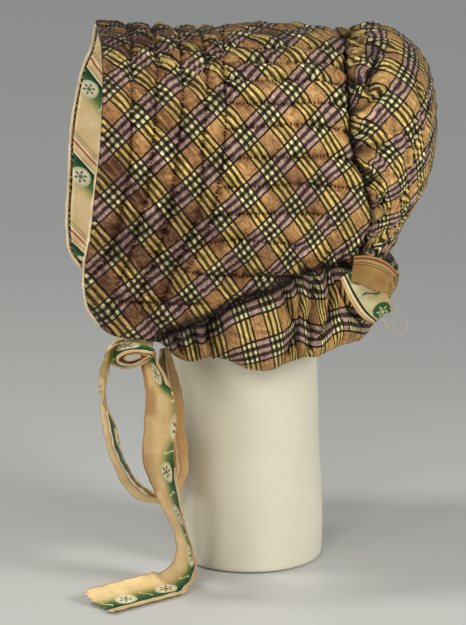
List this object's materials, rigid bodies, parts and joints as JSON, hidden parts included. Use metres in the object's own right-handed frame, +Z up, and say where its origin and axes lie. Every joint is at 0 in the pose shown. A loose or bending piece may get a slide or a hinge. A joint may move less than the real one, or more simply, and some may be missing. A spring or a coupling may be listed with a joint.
{
  "type": "quilted bonnet on display stand",
  "caption": "Quilted plaid silk bonnet with gathered crown, puffed neck frill and printed ribbon ties, on a plain round display stand.",
  "frame": {"origin": "centre of the stand's base, on the table", "axes": "+Z up; -Y out of the face opening; +X to the side with the bow, the wearer's left"},
  "size_m": [0.2578, 0.2915, 0.4337],
  "materials": {
    "stand": "matt woven cover, cream white",
    "plaid_silk": "copper tan shot silk with yellow and plum bias plaid, quilted",
    "printed_lining": "cream to tan satin with green shaded bands, medallions and red stripes",
    "ribbon": "printed satin ribbon, cream tan with a shaded green stripe",
    "piping": "cream silk cord"
  },
  "bodies": {
    "root": {"stand": "stand", "brim": "plaid_silk", "brim_lining": "printed_lining", "brim_piping": "piping", "crown": "plaid_silk", "neck_frill": "plaid_silk", "tie_stub": "ribbon", "tie_knot": "ribbon", "tie_loop": "ribbon", "tie_tail": "ribbon", "far_tie": "ribbon", "nape_turnback": "printed_lining", "nape_flap": "printed_lining"}
  },
  "joints": []
}
